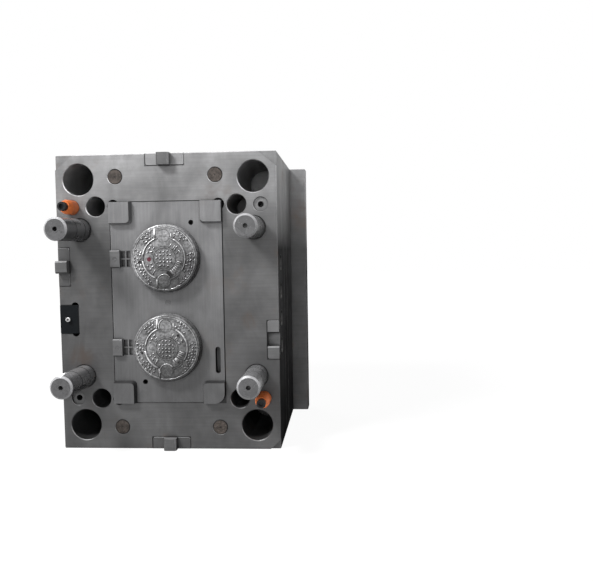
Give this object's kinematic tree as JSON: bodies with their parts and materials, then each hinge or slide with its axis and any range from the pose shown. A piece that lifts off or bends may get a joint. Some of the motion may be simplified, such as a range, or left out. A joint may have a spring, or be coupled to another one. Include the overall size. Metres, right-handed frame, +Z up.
{
  "type": "injection mould half",
  "caption": "Core half of a three-plate injection mould with round cores, guide pins, side locks and a sprung ejector set.",
  "frame": {"origin": "centre of the parting face, on the mould's centre line", "axes": "+Z up as the half stands on its lower edge, +Y from the parting face back to the clamp plate, +X to the right seen from the parting face"},
  "size_m": [0.35, 0.335, 0.4],
  "materials": {
    "ground_plate": "ground",
    "ejector_steel": "ground",
    "insert_steel": "fine ground",
    "polished_core": "polished",
    "hardened_pin": "ground and polished",
    "ejector_pin_steel": "ground",
    "return_pin_steel": "ground, lightly rusted",
    "lock_steel": "ground",
    "black_screw": "black oxide",
    "orange_resin": "moulded",
    "black_counter": "moulded",
    "plunger_steel": "turned",
    "brass_fitting": "turned",
    "pillar_steel": "turned",
    "bronze_bush": "turned",
    "spring_steel": "painted"
  },
  "bodies": {
    "mould_half": {"assembly_screws": "black_screw", "channel_plugs": "brass_fitting", "clamp_plate": "ground_plate", "core_insert": "insert_steel", "core_plate": "ground_plate", "counter_body": "black_counter", "counter_screws": "black_screw", "ejector_guide_pins": "pillar_steel", "guide_pin_lower_left": "hardened_pin", "guide_pin_lower_right": "hardened_pin", "guide_pin_upper_left": "hardened_pin", "guide_pin_upper_right": "hardened_pin", "insert_screws": "black_screw", "loop_core_lower": "polished_core", "loop_core_screws": "black_screw", "loop_core_upper": "polished_core", "parting_lock_screws": "black_screw", "parting_lock_sleeve_lower": "orange_resin", "parting_lock_sleeve_upper": "orange_resin", "pillar_screws": "black_screw", "return_springs": "spring_steel", "round_core_lower": "polished_core", "round_core_screws": "black_screw", "round_core_upper": "polished_core", "side_lock_bottom": "lock_steel", "side_lock_left": "lock_steel", "side_lock_right": "lock_steel", "side_lock_screws": "black_screw", "side_lock_top": "lock_steel", "spacer_block_left": "ground_plate", "spacer_block_right": "ground_plate", "stop_pins": "pillar_steel", "support_pillars": "pillar_steel", "support_plate": "ground_plate", "water_nipple_1": "brass_fitting", "water_nipple_2": "brass_fitting", "water_nipple_3": "brass_fitting", "water_nipple_4": "brass_fitting"},
    "ejector_set": {"retainer_plate": "ejector_steel", "ejector_plate": "ejector_steel", "ejector_bushes": "bronze_bush", "ejector_plate_screws": "black_screw", "ejector_pins_upper": "ejector_pin_steel", "ejector_pins_lower": "ejector_pin_steel", "loop_ejector_pins": "ejector_pin_steel", "runner_puller_pin": "ejector_pin_steel", "return_pin_lower_left": "return_pin_steel", "return_pin_lower_right": "return_pin_steel", "return_pin_upper_left": "return_pin_steel", "return_pin_upper_right": "return_pin_steel"},
    "counter_plunger": {"counter_plunger": "plunger_steel"}
  },
  "joints": [
    {"name": "ejector_stroke", "type": "slide", "parent": "mould_half", "child": "ejector_set", "axis": [0, -1, 0], "range_m": [0, 0.035], "stiffness_N_per_m": 20000, "springref_m": -0.01, "deforming": ["return_springs"]},
    {"name": "counter_stroke", "type": "slide", "parent": "mould_half", "child": "counter_plunger", "axis": [0, 1, 0], "range_m": [0, 0.0035], "stiffness_N_per_m": 500, "springref_m": -0.003}
  ]
}
